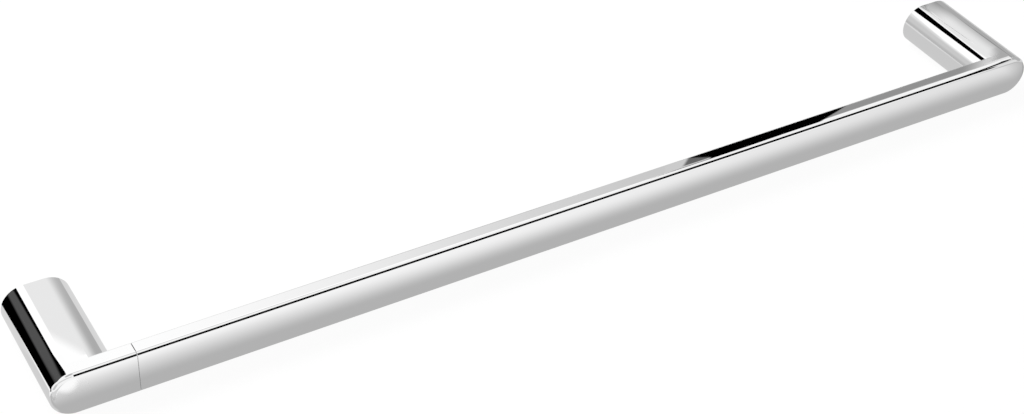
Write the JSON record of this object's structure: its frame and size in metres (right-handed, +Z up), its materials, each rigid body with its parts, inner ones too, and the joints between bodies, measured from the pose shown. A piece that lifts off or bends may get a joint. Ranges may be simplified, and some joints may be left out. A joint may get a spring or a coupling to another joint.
{
  "type": "towel rail",
  "caption": "Wall-mounted chrome towel rail: an upright flat bar with rounded ends, carried on hollow obround posts that lock onto wall brackets.",
  "frame": {"origin": "in the wall plane, midway between the fixing holes of the wall brackets", "axes": "+X along the bar to the right as seen from the room, +Y into the wall, +Z up"},
  "size_m": [0.6, 0.071, 0.025],
  "materials": {
    "left_post": "polished and chrome plated",
    "bar": "polished and chrome plated",
    "right_post": "polished and chrome plated",
    "bracket": "zinc plated, dull",
    "grub_screws": "stainless, bright"
  },
  "bodies": {
    "root": {"left_post": "left_post", "bar": "bar", "right_post": "right_post", "left_bracket": "bracket", "right_bracket": "bracket", "grub_screws": "grub_screws"}
  },
  "joints": []
}
